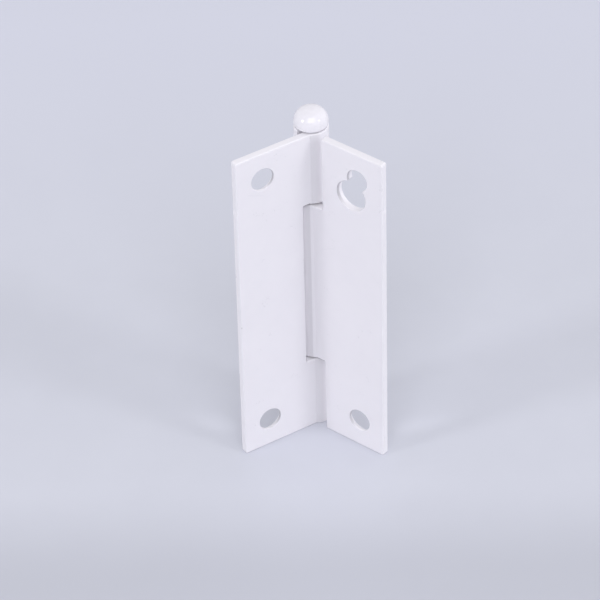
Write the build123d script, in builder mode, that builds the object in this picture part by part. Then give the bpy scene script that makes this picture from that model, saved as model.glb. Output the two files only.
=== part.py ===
from build123d import *
from math import sqrt, atan2, cos, sin, tan, radians, degrees
import os

os.makedirs("parts", exist_ok=True)

# Butt hinge with a keyhole leaf.  Millimetres, +Z up.
# The pin axis is the Z axis and z = 0 is the lower end of both leaves.
# The keyhole leaf runs along +X, the other leaf OPEN_ANGLE away from it, clockwise
# seen from above.  The mounting faces look into the angle between the leaves.

# ---- driving dimensions ----
LEAF_H = 88.9            # height of both leaves
LEAF_W = 23.0            # pin axis to the outer edge of a leaf
SHEET_T = 1.9            # sheet thickness, paint included
FACE_N = 3.33            # mounting face to the pin axis
OPEN_ANGLE = 109.38      # angle between the mounting faces, as stored

PIN_R = 2.25             # shank radius
FIXED_BORE_R = 2.25      # outer knuckles, which grip the pin
TURNING_BORE_R = 2.30    # middle knuckle, which turns on the pin
ROOT_R = 0.8             # inside bend where a leaf meets its knuckle
ROLL_END_DEG = 4.5       # where the rolled edge stops, past a full turn

Z_LOW_END = 20.88        # top of the bottom knuckle
Z_MID_LOW = 21.26        # bottom of the middle knuckle
Z_MID_HIGH = 68.18       # top of the middle knuckle
Z_HIGH_START = 68.56     # bottom of the top knuckle
OUTER_NOTCH_S = 4.83     # cut edge of the outer-knuckle leaf beside the middle knuckle
MIDDLE_NOTCH_S = 5.43    # cut edges of the keyhole leaf beside the outer knuckles

HOLE_R = 3.0             # round screw holes at the mounting face
HOLE_LAND = 0.6          # straight part of a screw hole, from the mounting face
SINK_ANGLE = 41          # half angle of the countersink that opens to the back face
HOLE_S = 15.76           # hole centres to the pin axis
HOLE_Z_LOW_A = 7.9       # outer-knuckle leaf, lower hole
HOLE_Z_HIGH_A = 81.55    # outer-knuckle leaf, upper hole
HOLE_Z_LOW_B = 7.8       # keyhole leaf, round hole
KEY_BIG_R, KEY_BIG_S, KEY_BIG_Z = 4.12, 14.02, 76.24
KEY_SMALL_R, KEY_SMALL_S, KEY_SMALL_Z = 2.88, 15.79, 81.4

CORNER_R = 0.6           # outer corners of the leaves
EDGE_R = 0.3             # painted sheet edges
HOLE_EDGE_R = 0.15       # painted hole rims
CUSP_R = 0.25            # where the keyhole's two circles meet

NICK_Z_A, NICK_Z_B = 74.9, 75.7   # small dents across the outer edges
NICK_DEPTH = 0.22
NICK_UP, NICK_DOWN = 0.45, 1.1

HEAD_GAP = 0.34          # end of the top knuckle to the underside of the head
HEAD_R = 4.16            # widest radius of the head
HEAD_RIM = 0.45          # round under the widest ring
HEAD_DOME = 3.95         # widest ring to the top of the head
HEAD_FULLNESS = 2.35     # 2 is a plain ellipse, more is squarer
PIN_CHAMFER = 0.45       # lower end of the pin


def leaf_outline(bore_r, side):
    """Closed section of a leaf and its rolled knuckle, side = +1 or -1."""
    roll_r = bore_r + SHEET_T
    root_y = FACE_N + ROOT_R
    root_x = sqrt((roll_r + ROOT_R) ** 2 - root_y ** 2)
    root_a = degrees(atan2(root_y, root_x))

    def on_circle(radius, angle):
        return (radius * cos(radians(angle)), side * radius * sin(radians(angle)))

    def on_root(radius, angle):
        return (root_x + radius * cos(radians(angle)), side * (root_y + radius * sin(radians(angle))))

    end_a = 360 + ROLL_END_DEG
    turn_a = (root_a + end_a) / 2
    bend_mid = (root_a + 180 + 270) / 2
    back_n = FACE_N - SHEET_T
    face_end = (LEAF_W, side * FACE_N)
    back_end = (LEAF_W, side * back_n)
    Line(face_end, on_root(ROOT_R, 270))
    ThreePointArc(on_root(ROOT_R, 270), on_root(ROOT_R, bend_mid), on_root(ROOT_R, root_a + 180))
    ThreePointArc(on_circle(roll_r, root_a), on_circle(roll_r, turn_a), on_circle(roll_r, end_a))
    Line(on_circle(roll_r, end_a), on_circle(bore_r, end_a))
    ThreePointArc(on_circle(bore_r, end_a), on_circle(bore_r, turn_a), on_circle(bore_r, root_a))
    outer = ROOT_R + SHEET_T
    ThreePointArc(on_root(outer, root_a + 180), on_root(outer, bend_mid), on_root(outer, 270))
    Line(on_root(outer, 270), back_end)
    Line(back_end, face_end)


# Own frames of the leaves: x along the leaf, z up the pin.
leaf_a = Plane(origin=(0, 0, 0), x_dir=(cos(radians(-OPEN_ANGLE)), sin(radians(-OPEN_ANGLE)), 0), z_dir=(0, 0, 1))
leaf_b = Plane.XY
along_a, along_b = leaf_a.x_dir, Vector(1, 0, 0)
normal_a, normal_b = leaf_a.y_dir, Vector(0, -1, 0)
# Planes in the middle of each sheet, looking out of the mounting face: x along the leaf.
MID_N = FACE_N - SHEET_T / 2
sheet_a = Plane(origin=normal_a * MID_N, x_dir=along_a * -1, z_dir=normal_a)
sheet_b = Plane(origin=normal_b * MID_N, x_dir=along_b, z_dir=normal_b)


def near(value, target, tol=0.03):
    return abs(value - target) < tol


def level(edge):
    box = edge.bounding_box()
    return box.max.Z - box.min.Z < 0.01


def sheet_corners(shape, along):
    """The short edges through the sheet at the leaf's two outer corners."""
    return [e for e in shape.edges()
            if near(e.length, SHEET_T) and near(e.center().dot(along), LEAF_W)]


def sheet_edges(shape, along, bore_r, notch_s):
    """Every sharp sheet edge: end outlines, outer end, cut edges, and the end of the roll."""
    roll_end_s = [radius * cos(radians(ROLL_END_DEG)) for radius in (bore_r, bore_r + SHEET_T)]
    found = []
    for e in shape.edges():
        s = e.center().dot(along)
        n_is_roll_end = abs(e.center().dot(normal_a if along == along_a else normal_b)) < 0.3
        upright = e.bounding_box().max.Z - e.bounding_box().min.Z > 5
        if level(e):
            found.append(e)
        elif upright and (near(s, LEAF_W) or near(s, notch_s)):
            found.append(e)
        elif upright and n_is_roll_end and any(near(s, r) for r in roll_end_s):
            found.append(e)
        elif not upright and s > LEAF_W - 2:
            found.append(e)
    return found


def front_rim(shape, along, normal, s, z, radius):
    """Rim of a round hole at the mounting face."""
    rims = []
    for e in shape.edges():
        c = e.arc_center if e.geom_type == GeomType.CIRCLE else None
        if (c is not None and near(e.radius, radius) and near(c.dot(along), s) and near(c.Z, z)
                and near(c.dot(normal), FACE_N)):
            rims.append(e)
    return rims


SINK_OVER = 0.2
SINK_H = SHEET_T - HOLE_LAND + SINK_OVER
SINK_R = HOLE_R + SINK_H * tan(radians(SINK_ANGLE))
SINK_MID_N = FACE_N - HOLE_LAND - SINK_H / 2


def sink_plane(along, normal, s, z):
    """Middle of a countersink cone, looking towards the mounting face."""
    return Plane(origin=along * s + normal * SINK_MID_N + Vector(0, 0, z), x_dir=along, z_dir=normal)


def nick_plane(along, normal, z):
    """Across the outer edge of a leaf: x out along the leaf, y up."""
    return Plane(origin=along * LEAF_W + Vector(0, 0, z), x_dir=along, z_dir=along.cross(Vector(0, 0, 1)))


# ---- leaf with the top and bottom knuckles ----
with BuildPart() as outer_knuckle_leaf:
    with BuildSketch(leaf_a):
        with BuildLine():
            leaf_outline(FIXED_BORE_R, 1)
        make_face()
    extrude(amount=LEAF_H)
    # window for the middle knuckle
    with BuildSketch(leaf_a.offset(Z_LOW_END)):
        with Locations((OUTER_NOTCH_S - 10, 0)):
            Rectangle(20, 20)
    extrude(amount=Z_HIGH_START - Z_LOW_END, mode=Mode.SUBTRACT)
    fillet(sheet_corners(outer_knuckle_leaf.part, along_a), CORNER_R)
    fillet(sheet_edges(outer_knuckle_leaf.part, along_a, FIXED_BORE_R, OUTER_NOTCH_S), EDGE_R)
    # two round screw holes through the sheet
    with BuildSketch(sheet_a):
        with Locations((-HOLE_S, HOLE_Z_LOW_A), (-HOLE_S, HOLE_Z_HIGH_A)):
            Circle(HOLE_R)
    extrude(amount=SHEET_T, both=True, mode=Mode.SUBTRACT)
    for z in (HOLE_Z_LOW_A, HOLE_Z_HIGH_A):
        with Locations(sink_plane(along_a, normal_a, HOLE_S, z)):
            Cone(bottom_radius=SINK_R, top_radius=HOLE_R, height=SINK_H, mode=Mode.SUBTRACT)
        fillet(front_rim(outer_knuckle_leaf.part, along_a, normal_a, HOLE_S, z, HOLE_R), HOLE_EDGE_R)
    # dent across the outer edge
    with BuildSketch(nick_plane(along_a, normal_a, NICK_Z_A)):
        with BuildLine():
            Polyline((-NICK_DEPTH, 0), (1, NICK_UP * (1 + 1 / NICK_DEPTH)), (1, -NICK_DOWN * (1 + 1 / NICK_DEPTH)), close=True)
        make_face()
    extrude(amount=10, both=True, mode=Mode.SUBTRACT)

outer_knuckle_leaf.part.label = "outer_knuckle_leaf"
export_step(outer_knuckle_leaf.part, "parts/outer_knuckle_leaf.step")

# ---- leaf with the middle knuckle and the keyhole ----
with BuildPart() as keyhole_leaf:
    with BuildSketch(leaf_b):
        with BuildLine():
            leaf_outline(TURNING_BORE_R, -1)
        make_face()
    extrude(amount=LEAF_H)
    # clearance for the bottom and the top knuckle
    with BuildSketch(leaf_b):
        with Locations((MIDDLE_NOTCH_S - 10, 0)):
            Rectangle(20, 20)
    extrude(amount=Z_MID_LOW, mode=Mode.SUBTRACT)
    with BuildSketch(leaf_b.offset(Z_MID_HIGH)):
        with Locations((MIDDLE_NOTCH_S - 10, 0)):
            Rectangle(20, 20)
    extrude(amount=LEAF_H - Z_MID_HIGH, mode=Mode.SUBTRACT)
    fillet(sheet_corners(keyhole_leaf.part, along_b), CORNER_R)
    fillet(sheet_edges(keyhole_leaf.part, along_b, TURNING_BORE_R, MIDDLE_NOTCH_S), EDGE_R)
    # round screw hole, and the two overlapping circles of the keyhole
    with BuildSketch(sheet_b):
        with Locations((HOLE_S, HOLE_Z_LOW_B)):
            Circle(HOLE_R)
    extrude(amount=SHEET_T, both=True, mode=Mode.SUBTRACT)
    with BuildSketch(sheet_b):
        with Locations((KEY_BIG_S, KEY_BIG_Z)):
            Circle(KEY_BIG_R)
        with Locations((KEY_SMALL_S, KEY_SMALL_Z)):
            Circle(KEY_SMALL_R)
    extrude(amount=SHEET_T, both=True, mode=Mode.SUBTRACT)
    cusps = [e for e in keyhole_leaf.part.edges()
             if near(e.length, SHEET_T) and KEY_BIG_Z < e.center().Z < KEY_SMALL_Z and e.center().X > 10]
    fillet(cusps, CUSP_R)
    key_rims = [e for e in keyhole_leaf.part.edges()
                if e.center().Z > KEY_BIG_Z - KEY_BIG_R - 0.1 and e.center().Z < KEY_SMALL_Z + KEY_SMALL_R + 0.1
                and 9.9 < e.center().X < 18.9
                and (near(e.center().Y, -FACE_N) or near(e.center().Y, SHEET_T - FACE_N))]
    fillet(key_rims, HOLE_EDGE_R)
    with Locations(sink_plane(along_b, normal_b, HOLE_S, HOLE_Z_LOW_B)):
        Cone(bottom_radius=SINK_R, top_radius=HOLE_R, height=SINK_H, mode=Mode.SUBTRACT)
    fillet(front_rim(keyhole_leaf.part, along_b, normal_b, HOLE_S, HOLE_Z_LOW_B, HOLE_R), HOLE_EDGE_R)
    # dent across the outer edge
    with BuildSketch(nick_plane(along_b, normal_b, NICK_Z_B)):
        with BuildLine():
            Polyline((-NICK_DEPTH, 0), (1, NICK_UP * (1 + 1 / NICK_DEPTH)), (1, -NICK_DOWN * (1 + 1 / NICK_DEPTH)), close=True)
        make_face()
    extrude(amount=10, both=True, mode=Mode.SUBTRACT)

keyhole_leaf.part.label = "keyhole_leaf"
export_step(keyhole_leaf.part, "parts/keyhole_leaf.step")

# ---- pin with a flattened-dome head ----
with BuildPart() as hinge_pin:
    with BuildSketch(Plane.XZ):
        with BuildLine():
            under = LEAF_H + HEAD_GAP
            ring = under + HEAD_RIM
            Line((0, 0), (PIN_R - PIN_CHAMFER, 0))
            Line((PIN_R - PIN_CHAMFER, 0), (PIN_R, PIN_CHAMFER))
            Line((PIN_R, PIN_CHAMFER), (PIN_R, under))
            Line((PIN_R, under), (HEAD_R - HEAD_RIM, under))
            CenterArc((HEAD_R - HEAD_RIM, ring), HEAD_RIM, -90, 90)
            power = 2 / HEAD_FULLNESS
            dome = [(HEAD_R * cos(radians(a)) ** power, ring + HEAD_DOME * sin(radians(a)) ** power)
                    for a in range(0, 90, 15)]
            Spline(dome + [(0, ring + HEAD_DOME)], tangents=[(0, 1), (-1, 0)])
            Line((0, ring + HEAD_DOME), (0, 0))
        make_face()
    revolve(axis=Axis.Z)

hinge_pin.part.label = "hinge_pin"
export_step(hinge_pin.part, "parts/hinge_pin.step")

for name, piece in (("outer_knuckle_leaf", outer_knuckle_leaf), ("keyhole_leaf", keyhole_leaf), ("hinge_pin", hinge_pin)):
    size = piece.part.bounding_box().size
    print(name, piece.part.is_valid, round(piece.part.volume, 2), round(size.X, 2), round(size.Y, 2), round(size.Z, 2))
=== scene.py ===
import math

import bpy
from mathutils import Matrix, Vector

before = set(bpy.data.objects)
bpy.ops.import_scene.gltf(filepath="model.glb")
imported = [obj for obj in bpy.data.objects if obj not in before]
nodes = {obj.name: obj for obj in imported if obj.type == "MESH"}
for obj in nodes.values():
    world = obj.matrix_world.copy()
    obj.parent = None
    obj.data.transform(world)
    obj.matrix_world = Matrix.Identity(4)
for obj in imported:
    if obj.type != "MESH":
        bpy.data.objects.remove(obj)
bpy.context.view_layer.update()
scene = bpy.context.scene

# ---------------------------------------------------------------- camera
CAM_POS = Vector((0.40929, -0.51738, 0.57566))
FORWARD = Vector((-0.48357, 0.60445, -0.63309)).normalized()
ROLL = math.radians(1.446)

side = Vector((0.78086, 0.62471, 0.0)).normalized()
up = side.cross(FORWARD).normalized()
right = side * math.cos(ROLL) - up * math.sin(ROLL)
top = side * math.sin(ROLL) + up * math.cos(ROLL)

cam_data = bpy.data.cameras.new("camera")
cam_data.sensor_width = 36.0
cam_data.lens = 210.95
cam_data.clip_start = 0.05
cam_data.clip_end = 20.0
cam = bpy.data.objects.new("camera", cam_data)
scene.collection.objects.link(cam)
cam.matrix_world = Matrix((
    (right.x, top.x, -FORWARD.x, CAM_POS.x),
    (right.y, top.y, -FORWARD.y, CAM_POS.y),
    (right.z, top.z, -FORWARD.z, CAM_POS.z),
    (0.0, 0.0, 0.0, 1.0),
))
scene.camera = cam

scene.view_settings.view_transform = "Standard"
scene.view_settings.look = "None"
scene.view_settings.exposure = 0.0
scene.view_settings.gamma = 1.0

# ---------------------------------------------------------------- light
# A pale room, brighter to both sides and behind the part, with two small soft boxes beside the
# camera, whose highlights show on the pin's head, and a large one above the camera.
# Directions are given from the object, seen from the camera's side: x to the camera's right,
# y away from it, z up.
flat_forward = Vector((FORWARD.x, FORWARD.y, 0.0)).normalized()


def to_world(direction):
    return side * direction[0] + flat_forward * direction[1] + Vector((0.0, 0.0, direction[2]))


world = bpy.data.worlds.new("studio")
scene.world = world
world.use_nodes = True
sky = world.node_tree
background = sky.nodes["Background"]
background.inputs["Color"].default_value = (1.0, 0.997, 1.04, 1.0)
ray = sky.nodes.new("ShaderNodeTexCoord")
level = None
for direction, strength in (((0, 1, 0), 0.62), ((-1, 0, 0), 0.75), ((1, 0, 0), 1.12)):
    dot = sky.nodes.new("ShaderNodeVectorMath")
    dot.operation = "DOT_PRODUCT"
    dot.inputs[1].default_value = to_world(direction)
    sky.links.new(ray.outputs["Generated"], dot.inputs[0])
    lit = sky.nodes.new("ShaderNodeMath")
    lit.operation = "MAXIMUM"
    lit.inputs[1].default_value = 0.0
    sky.links.new(dot.outputs["Value"], lit.inputs[0])
    add = sky.nodes.new("ShaderNodeMath")
    add.operation = "MULTIPLY_ADD"
    add.inputs[1].default_value = strength
    add.inputs[2].default_value = 0.07
    sky.links.new(lit.outputs[0], add.inputs[0])
    if level is not None:
        sky.links.new(level, add.inputs[2])
    level = add.outputs[0]
sky.links.new(level, background.inputs["Strength"])


def softbox(name, direction, distance, size, watts, colour):
    data = bpy.data.lights.new(name, "AREA")
    data.shape = "SQUARE"
    data.size = size
    data.energy = watts
    data.color = colour
    lamp = bpy.data.objects.new(name, data)
    scene.collection.objects.link(lamp)
    d = to_world(direction).normalized()
    target = Vector((0.005, -0.005, 0.05))
    lamp.location = target + d * distance
    lamp.rotation_mode = "QUATERNION"
    lamp.rotation_quaternion = (-d).to_track_quat("-Z", "Y")
    return lamp


softbox("left_box", (-0.834, -0.376, 0.4025), 1.6, 0.28, 4.4, (1.0, 0.99, 1.02))
softbox("right_box", (0.786, -0.450, 0.420), 1.6, 0.28, 3.5, (1.0, 0.99, 1.02))
softbox("front_box", (0.0, -0.707, 0.707), 1.0, 0.75, 5.0, (0.98, 0.98, 1.04))


# ---------------------------------------------------------------- node helpers
class Nodes:
    """A material's nodes, written as short calls. Lengths are in metres of the part's frame."""

    def __init__(self, name):
        self.mat = bpy.data.materials.new(name)
        self.mat.use_nodes = True
        self.tree = self.mat.node_tree
        self.bsdf = self.tree.nodes["Principled BSDF"]
        self.place = self.tree.nodes.new("ShaderNodeTexCoord").outputs["Object"]

    def put(self, node, socket, value):
        if hasattr(value, "is_output"):
            self.tree.links.new(value, node.inputs[socket])
        else:
            node.inputs[socket].default_value = value

    def math(self, op, a, b=0.0, c=0.0, clamp=False):
        n = self.tree.nodes.new("ShaderNodeMath")
        n.operation = op
        n.use_clamp = clamp
        for i, v in enumerate((a, b, c)):
            self.put(n, i, v)
        return n.outputs[0]

    def vec(self, op, a, b=(0.0, 0.0, 0.0), scale=None):
        n = self.tree.nodes.new("ShaderNodeVectorMath")
        n.operation = op
        self.put(n, 0, a)
        if scale is None:
            self.put(n, 1, b)
        else:
            self.put(n, "Scale", scale)
        return n.outputs["Value"] if op in ("DOT_PRODUCT", "DISTANCE", "LENGTH") else n.outputs["Vector"]

    def noise(self, size, detail=2.0, rough=0.5, place=None, warp=0.0):
        n = self.tree.nodes.new("ShaderNodeTexNoise")
        self.put(n, "Vector", self.place if place is None else place)
        n.inputs["Scale"].default_value = 1.0 / size
        n.inputs["Detail"].default_value = detail
        n.inputs["Roughness"].default_value = rough
        n.inputs["Distortion"].default_value = warp
        return n.outputs["Fac"]

    def ramp(self, value, lo, hi, out_lo=0.0, out_hi=1.0, smooth=True):
        n = self.tree.nodes.new("ShaderNodeMapRange")
        n.interpolation_type = "SMOOTHSTEP" if smooth else "LINEAR"
        for socket, v in (("Value", value), ("From Min", lo), ("From Max", hi),
                          ("To Min", out_lo), ("To Max", out_hi)):
            self.put(n, socket, v)
        return n.outputs["Result"]

    def mix(self, fac, a, b):
        n = self.tree.nodes.new("ShaderNodeMix")
        n.data_type = "RGBA"
        self.put(n, 0, fac)
        self.put(n, 6, a)
        self.put(n, 7, b)
        return n.outputs[2]

    def specks(self, cell, share, r_lo, r_hi):
        """Sparse round inclusions: one point in some of the cells."""
        v = self.tree.nodes.new("ShaderNodeTexVoronoi")
        self.put(v, "Vector", self.place)
        v.inputs["Scale"].default_value = 1.0 / cell
        split = self.tree.nodes.new("ShaderNodeSeparateColor")
        self.tree.links.new(v.outputs["Color"], split.inputs[0])
        chosen = self.math("LESS_THAN", split.outputs[0], share)
        radius = self.ramp(split.outputs[1], 0.0, 1.0, r_lo / cell, r_hi / cell, smooth=False)
        inner = self.math("MULTIPLY", radius, 0.5)
        spot = self.ramp(v.outputs["Distance"], inner, radius, 1.0, 0.0)
        return self.math("MULTIPLY", spot, chosen)

    def dot(self, at, r):
        """A soft round spot of radius r about one point."""
        d = self.vec("DISTANCE", self.place, at)
        return self.ramp(d, r * 0.45, r, 1.0, 0.0)

    def stroke(self, a, b, width, place=None):
        """A fine line from a to b that fades at both ends."""
        a, b = Vector(a), Vector(b)
        run = b - a
        t = self.math("DIVIDE", self.vec("DOT_PRODUCT", self.vec("SUBTRACT", self.place if place is None else place, a), run),
                      run.length_squared, clamp=True)
        foot = self.vec("ADD", self.vec("SCALE", run, scale=t), a)
        d = self.vec("DISTANCE", self.place if place is None else place, foot)
        line = self.ramp(d, width * 0.3, width, 1.0, 0.0)
        fade = self.math("MULTIPLY", self.ramp(t, 0.0, 0.25), self.ramp(t, 1.0, 0.75))
        return self.math("MULTIPLY", line, fade)

    def seam(self, z_lo, z_hi, radius, inner=0.0):
        """A band between two heights, in metres, kept between two radii about the pin's axis."""
        split = self.tree.nodes.new("ShaderNodeSeparateXYZ")
        self.tree.links.new(self.place, split.inputs[0])
        low = self.ramp(split.outputs[2], z_lo, z_lo + 0.00003)
        high = self.ramp(split.outputs[2], z_hi, z_hi - 0.00006)
        reach = self.vec("LENGTH", self.vec("MULTIPLY", self.place, (1.0, 1.0, 0.0)))
        inside = self.math("MULTIPLY", self.ramp(reach, radius, radius - 0.00005),
                           self.ramp(reach, inner, inner + 0.00012))
        band = self.math("MULTIPLY", self.math("MULTIPLY", low, high), inside)
        return self.math("MULTIPLY", band, self.ramp(self.noise(0.0011, 2.0), 0.25, 0.5, 0.55, 1.0))

    def crease_painted_shade(self):
        """Painted shade: 1 on a knuckle's roll next to the crease where it leaves the leaf, fading away from it."""
        flat = self.vec("MULTIPLY", self.place, (1.0, 1.0, 0.0))
        reach = self.vec("LENGTH", flat)
        along = self.math("DIVIDE", self.vec("DOT_PRODUCT", flat, (0.5780, -0.8160, 0.0)), reach)
        return self.math("MULTIPLY", self.ramp(reach, 0.00422, 0.004155), self.ramp(along, 0.80, 0.985))

    def roll_painted_shade(self):
        """Painted shade: 1 on the middle knuckle's roll from its crease toward the other leaf's cut edge, where the
        roll lies in the cut edge's shade.
        """
        flat = self.vec("MULTIPLY", self.place, (1.0, 1.0, 0.0))
        reach = self.vec("LENGTH", flat)
        along = self.math("DIVIDE", self.vec("DOT_PRODUCT", flat, (0.5780, -0.8160, 0.0)), reach)
        turn = self.math("DIVIDE", self.vec("DOT_PRODUCT", flat, (-0.8746, -0.4848, 0.0)), reach)
        near = self.math("MULTIPLY", self.ramp(turn, -0.045, 0.045), self.ramp(turn, 0.38, 0.10))
        front = self.math("MULTIPLY", self.ramp(along, 0.5, 0.6), self.ramp(reach, 0.00427, 0.004205))
        return self.math("MULTIPLY", near, front)

    def beside(self):
        """Painted light: 1 on the keyhole leaf's inner face at the middle knuckle's crease, fading away from it,
        where the bend is made paler.
        """
        reach = self.vec("LENGTH", self.vec("MULTIPLY", self.place, (1.0, 1.0, 0.0)))
        level = self.vec("DOT_PRODUCT", self.place, (0.0, -1.0, 0.0))
        near = self.math("MULTIPLY", self.ramp(reach, 0.0062, 0.0043), self.ramp(reach, 0.004205, 0.00424))
        return self.math("MULTIPLY", near, self.ramp(level, 0.0030, 0.0032))

    def rim(self, u, nrm, s, z, r, deep):
        """Painted shade on the front part of a hole's wall, on the side that faces down and away from the knuckle,
        where the wall lies in shade.
        u and nrm are the leaf's direction and normal; s, z, r and deep are in metres."""
        across = self.math("SUBTRACT", self.vec("DOT_PRODUCT", self.place, (u[0], u[1], 0.0)), s)
        rise = self.math("SUBTRACT", self.vec("DOT_PRODUCT", self.place, (0.0, 0.0, 1.0)), z)
        out = self.math("SQRT", self.math("ADD", self.math("MULTIPLY", across, across),
                                          self.math("MULTIPLY", rise, rise)))
        level = self.vec("DOT_PRODUCT", self.place, (nrm[0], nrm[1], 0.0))
        wall = self.math("MULTIPLY", self.ramp(out, r + 0.00012, r + 0.00004),
                         self.ramp(level, deep - 0.00012, deep + 0.00012))
        turn = self.math("DIVIDE", self.math("ADD", self.math("MULTIPLY", across, -0.90),
                                             self.math("MULTIPLY", rise, 0.43)), r)
        return self.math("MULTIPLY", wall, self.ramp(turn, -0.15, 0.85))

    def edges(self, reach, samples=6):
        """1 on an outer edge, 0 on a flat: how little solid lies behind the surface."""
        n = self.tree.nodes.new("ShaderNodeAmbientOcclusion")
        n.inside = True
        n.only_local = True
        n.samples = samples
        n.inputs["Distance"].default_value = reach
        return self.ramp(n.outputs["AO"], 0.02, 0.5)

    def bump(self, height_mm, strength=1.0):
        n = self.tree.nodes.new("ShaderNodeBump")
        n.inputs["Strength"].default_value = strength
        n.inputs["Distance"].default_value = 0.001
        self.put(n, "Height", height_mm)
        self.tree.links.new(n.outputs["Normal"], self.bsdf.inputs["Normal"])


def total(n, parts):
    """The sum of value * weight over the parts."""
    out = 0.0
    for value, weight in parts:
        out = n.math("MULTIPLY_ADD", value, weight, out)
    return out


# ---------------------------------------------------------------- floor
bpy.ops.mesh.primitive_plane_add(size=24.0, location=(0.0, 0.0, 0.0))
floor = bpy.context.object
floor.name = "floor"
n = Nodes("floor_board")
tone = total(n, [(n.noise(0.09, 3.0, 0.55), 0.7), (n.noise(0.012, 3.0, 0.6), 0.3)])
board = n.mix(n.ramp(tone, 0.3, 0.7), (0.632, 0.648, 0.708, 1.0), (0.655, 0.671, 0.731, 1.0))
# painted shade: the board is a little darker toward the camera, as under the camera's shadow; painted light: it is
# paler behind the part
depth = n.vec("DOT_PRODUCT", n.place, flat_forward)
board = n.mix(n.math("MULTIPLY", n.ramp(depth, -0.025, -0.060), 0.75), board, (0.500, 0.513, 0.563, 1.0))
# painted light: the board is paler behind the part
board = n.mix(n.ramp(depth, 0.05, 0.17, smooth=False), board, (0.705, 0.722, 0.806, 1.0))
n.put(n.bsdf, "Base Color", board)
n.put(n.bsdf, "Roughness", n.ramp(n.noise(0.02, 2.0), 0.3, 0.7, 0.56, 0.68))
n.bsdf.inputs["Specular IOR Level"].default_value = 0.2
floor.data.materials.append(n.mat)


# ---------------------------------------------------------------- paint
# White powder coat on pressed steel: orange peel about 2 mm from crest to crest and a few
# micrometres high, a finer grain, clouds of slightly thicker and thinner film, a thinner film on
# the sharp edges, and a few fine inclusions. One place on a leaf's inner face is given by its
# distance s from the pin's axis and its height z, in millimetres.
INNER = 3.33
U_LEFT, N_LEFT = (-0.3318, -0.9433), (0.9433, -0.3318)
U_RIGHT, N_RIGHT = (1.0, 0.0), (0.0, -1.0)


def on_leaf(u, nrm, s, z, depth=0.0):
    k = INNER - depth
    return Vector(((s * u[0] + k * nrm[0]) * 0.001, (s * u[1] + k * nrm[1]) * 0.001, z * 0.001))


def powder_coat(name, white, thin, rough_lo, rough_hi, peel, grain, flaws_and_painted_light=None):
    n = Nodes(name)
    peel_height = n.noise(0.0019, 1.5, 0.45, warp=0.3)
    grain_height = n.noise(0.00042, 2.0, 0.5)
    clouds = n.noise(0.016, 3.0, 0.55)
    clouds_fine = n.noise(0.0035, 2.0, 0.5)
    edge = n.edges(0.00045)
    film = total(n, [(clouds, 0.65), (clouds_fine, 0.35)])
    colour = n.mix(n.ramp(film, 0.32, 0.68), thin, white)
    colour = n.mix(n.math("MULTIPLY", edge, 0.35), colour, thin)
    inclusions = n.specks(0.0045, 0.10, 0.00005, 0.00011)
    colour = n.mix(n.math("MULTIPLY", inclusions, 0.45), colour, (0.42, 0.41, 0.40, 1.0))
    height = [(peel_height, peel), (grain_height, grain), (clouds, peel * 1.6), (inclusions, 0.012)]
    rough = n.ramp(total(n, [(clouds_fine, 0.6), (grain_height, 0.4)]), 0.3, 0.7, rough_lo, rough_hi)
    # the leaf functions add real marks together with painted light and shade
    if flaws_and_painted_light:
        colour, height, rough = flaws_and_painted_light(n, colour, height, rough)
    n.put(n.bsdf, "Base Color", colour)
    n.put(n.bsdf, "Roughness", rough)
    n.bsdf.inputs["IOR"].default_value = 1.52
    n.bump(total(n, height))
    return n.mat


# real marks (a scuff, two dark marks, a pip) together with painted shade in the crease, on the holes' walls and along
# the seam
def outer_leaf_flaws_and_painted_shade(n, colour, height, rough):
    scuff = n.stroke(on_leaf(U_LEFT, N_LEFT, 20.7, 79.0), on_leaf(U_LEFT, N_LEFT, 14.8, 76.4), 0.00022)
    marks = n.math("MAXIMUM", n.dot(on_leaf(U_LEFT, N_LEFT, 4.9, 49.0, 0.2), 0.00042),
                   n.dot(on_leaf(U_LEFT, N_LEFT, 22.9, 40.0), 0.00034))
    pip = n.dot(on_leaf(U_LEFT, N_LEFT, 11.7, 12.5), 0.00045)
    colour = n.mix(n.math("MULTIPLY", marks, 0.40), colour, (0.50, 0.49, 0.50, 1.0))
    colour = n.mix(n.math("MULTIPLY", scuff, 0.10), colour, (0.62, 0.62, 0.66, 1.0))
    # painted shade in the crease where the knuckle's roll leaves the leaf
    colour = n.mix(n.math("MULTIPLY", n.crease_painted_shade(), 0.24), colour, (0.48, 0.47, 0.49, 1.0))
    # painted shade on the front part of the holes' walls, on their shaded side
    hole_wall_shade = n.math("MAXIMUM", n.rim(U_LEFT, N_LEFT, 0.01576, 0.00790, 0.0030, 0.00275),
                  n.rim(U_LEFT, N_LEFT, 0.01576, 0.08155, 0.0030, 0.00275))
    colour = n.mix(n.math("MULTIPLY", hole_wall_shade, 0.60), colour, (0.36, 0.35, 0.37, 1.0))
    # painted shadow: a dark line along the lower edge of the top knuckle and of the sheet next to it, where the
    # seam's gap lies in shade; the bump sinks it a little too
    seam_shadow = n.math("MAXIMUM", n.seam(0.06850, 0.06872, 0.00586), n.seam(0.06850, 0.06900, 0.00580, 0.00430))
    colour = n.mix(n.math("MULTIPLY", seam_shadow, 0.80), colour, (0.16, 0.15, 0.16, 1.0))
    height = height + [(scuff, -0.006), (pip, 0.016), (marks, -0.010), (seam_shadow, -0.03)]
    return colour, height, n.math("ADD", rough, n.math("MULTIPLY", scuff, 0.12))


# real marks (a scuff, a pip) together with painted shade on the middle knuckle's roll, on the holes' walls and along
# the seam, and painted light at the crease
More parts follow.
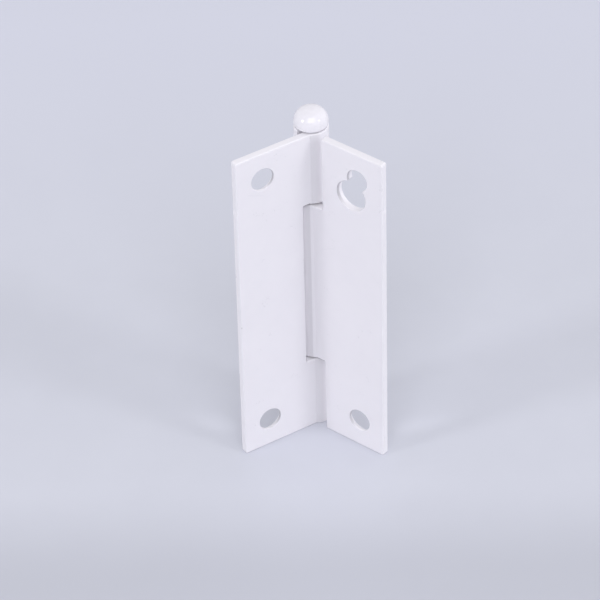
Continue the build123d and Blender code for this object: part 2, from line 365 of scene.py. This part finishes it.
def keyhole_leaf_flaws_and_painted_light(n, colour, height, rough):
    scuff = n.stroke(on_leaf(U_RIGHT, N_RIGHT, 4.5, 56.0), on_leaf(U_RIGHT, N_RIGHT, 9.8, 58.6), 0.00022)
    pip = n.dot(Vector((0.0112, -0.0025, 0.0889)), 0.00055)
    colour = n.mix(n.math("MULTIPLY", scuff, 0.10), colour, (0.62, 0.62, 0.66, 1.0))
    # painted light: the keyhole leaf's inner face at the middle knuckle's crease is made paler
    colour = n.mix(n.math("MULTIPLY", n.beside(), 0.5), colour, (0.94, 0.92, 0.95, 1.0))
    # painted shade on the middle knuckle's roll from its crease toward the other leaf's cut edge
    colour = n.mix(n.math("MULTIPLY", n.roll_painted_shade(), 0.31), colour, (0.48, 0.47, 0.49, 1.0))
    # painted shade on the front part of the holes' walls, on their shaded side
    hole_wall_shade = n.math("MAXIMUM", n.rim(U_RIGHT, N_RIGHT, 0.01402, 0.07624, 0.00412, 0.00252),
                  n.rim(U_RIGHT, N_RIGHT, 0.01579, 0.08140, 0.00288, 0.00262))
    hole_wall_shade = n.math("MAXIMUM", hole_wall_shade, n.rim(U_RIGHT, N_RIGHT, 0.01576, 0.00780, 0.0030, 0.00275))
    colour = n.mix(n.math("MULTIPLY", hole_wall_shade, 0.55), colour, (0.36, 0.35, 0.37, 1.0))
    # painted shadow: a dark line along the lower edge of the middle knuckle and of the sheet next to it, where the
    # seam's gap lies in shade; the bump sinks it a little too
    seam_shadow = n.math("MAXIMUM", n.seam(0.02120, 0.02142, 0.00636), n.seam(0.02120, 0.02170, 0.00630, 0.00430))
    colour = n.mix(n.math("MULTIPLY", seam_shadow, 0.60), colour, (0.22, 0.21, 0.22, 1.0))
    height = height + [(scuff, -0.006), (pip, 0.020), (seam_shadow, -0.03)]
    return colour, height, n.math("ADD", rough, n.math("MULTIPLY", scuff, 0.12))


WHITE, THIN = (0.866, 0.848, 0.874, 1.0), (0.840, 0.824, 0.854, 1.0)
for node, mat in (
    ("outer_knuckle_leaf", powder_coat("outer_leaf_paint", WHITE, THIN, 0.27, 0.38, 0.016, 0.0022, outer_leaf_flaws_and_painted_shade)),
    ("keyhole_leaf", powder_coat("keyhole_leaf_paint", WHITE, THIN, 0.27, 0.38, 0.016, 0.0022, keyhole_leaf_flaws_and_painted_light)),
    ("hinge_pin", powder_coat("pin_paint", (0.842, 0.828, 0.862, 1.0), (0.822, 0.808, 0.844, 1.0), 0.085, 0.13, 0.010, 0.0006)),
):
    o = nodes[node]
    o.data.materials.clear()
    o.data.materials.append(mat)
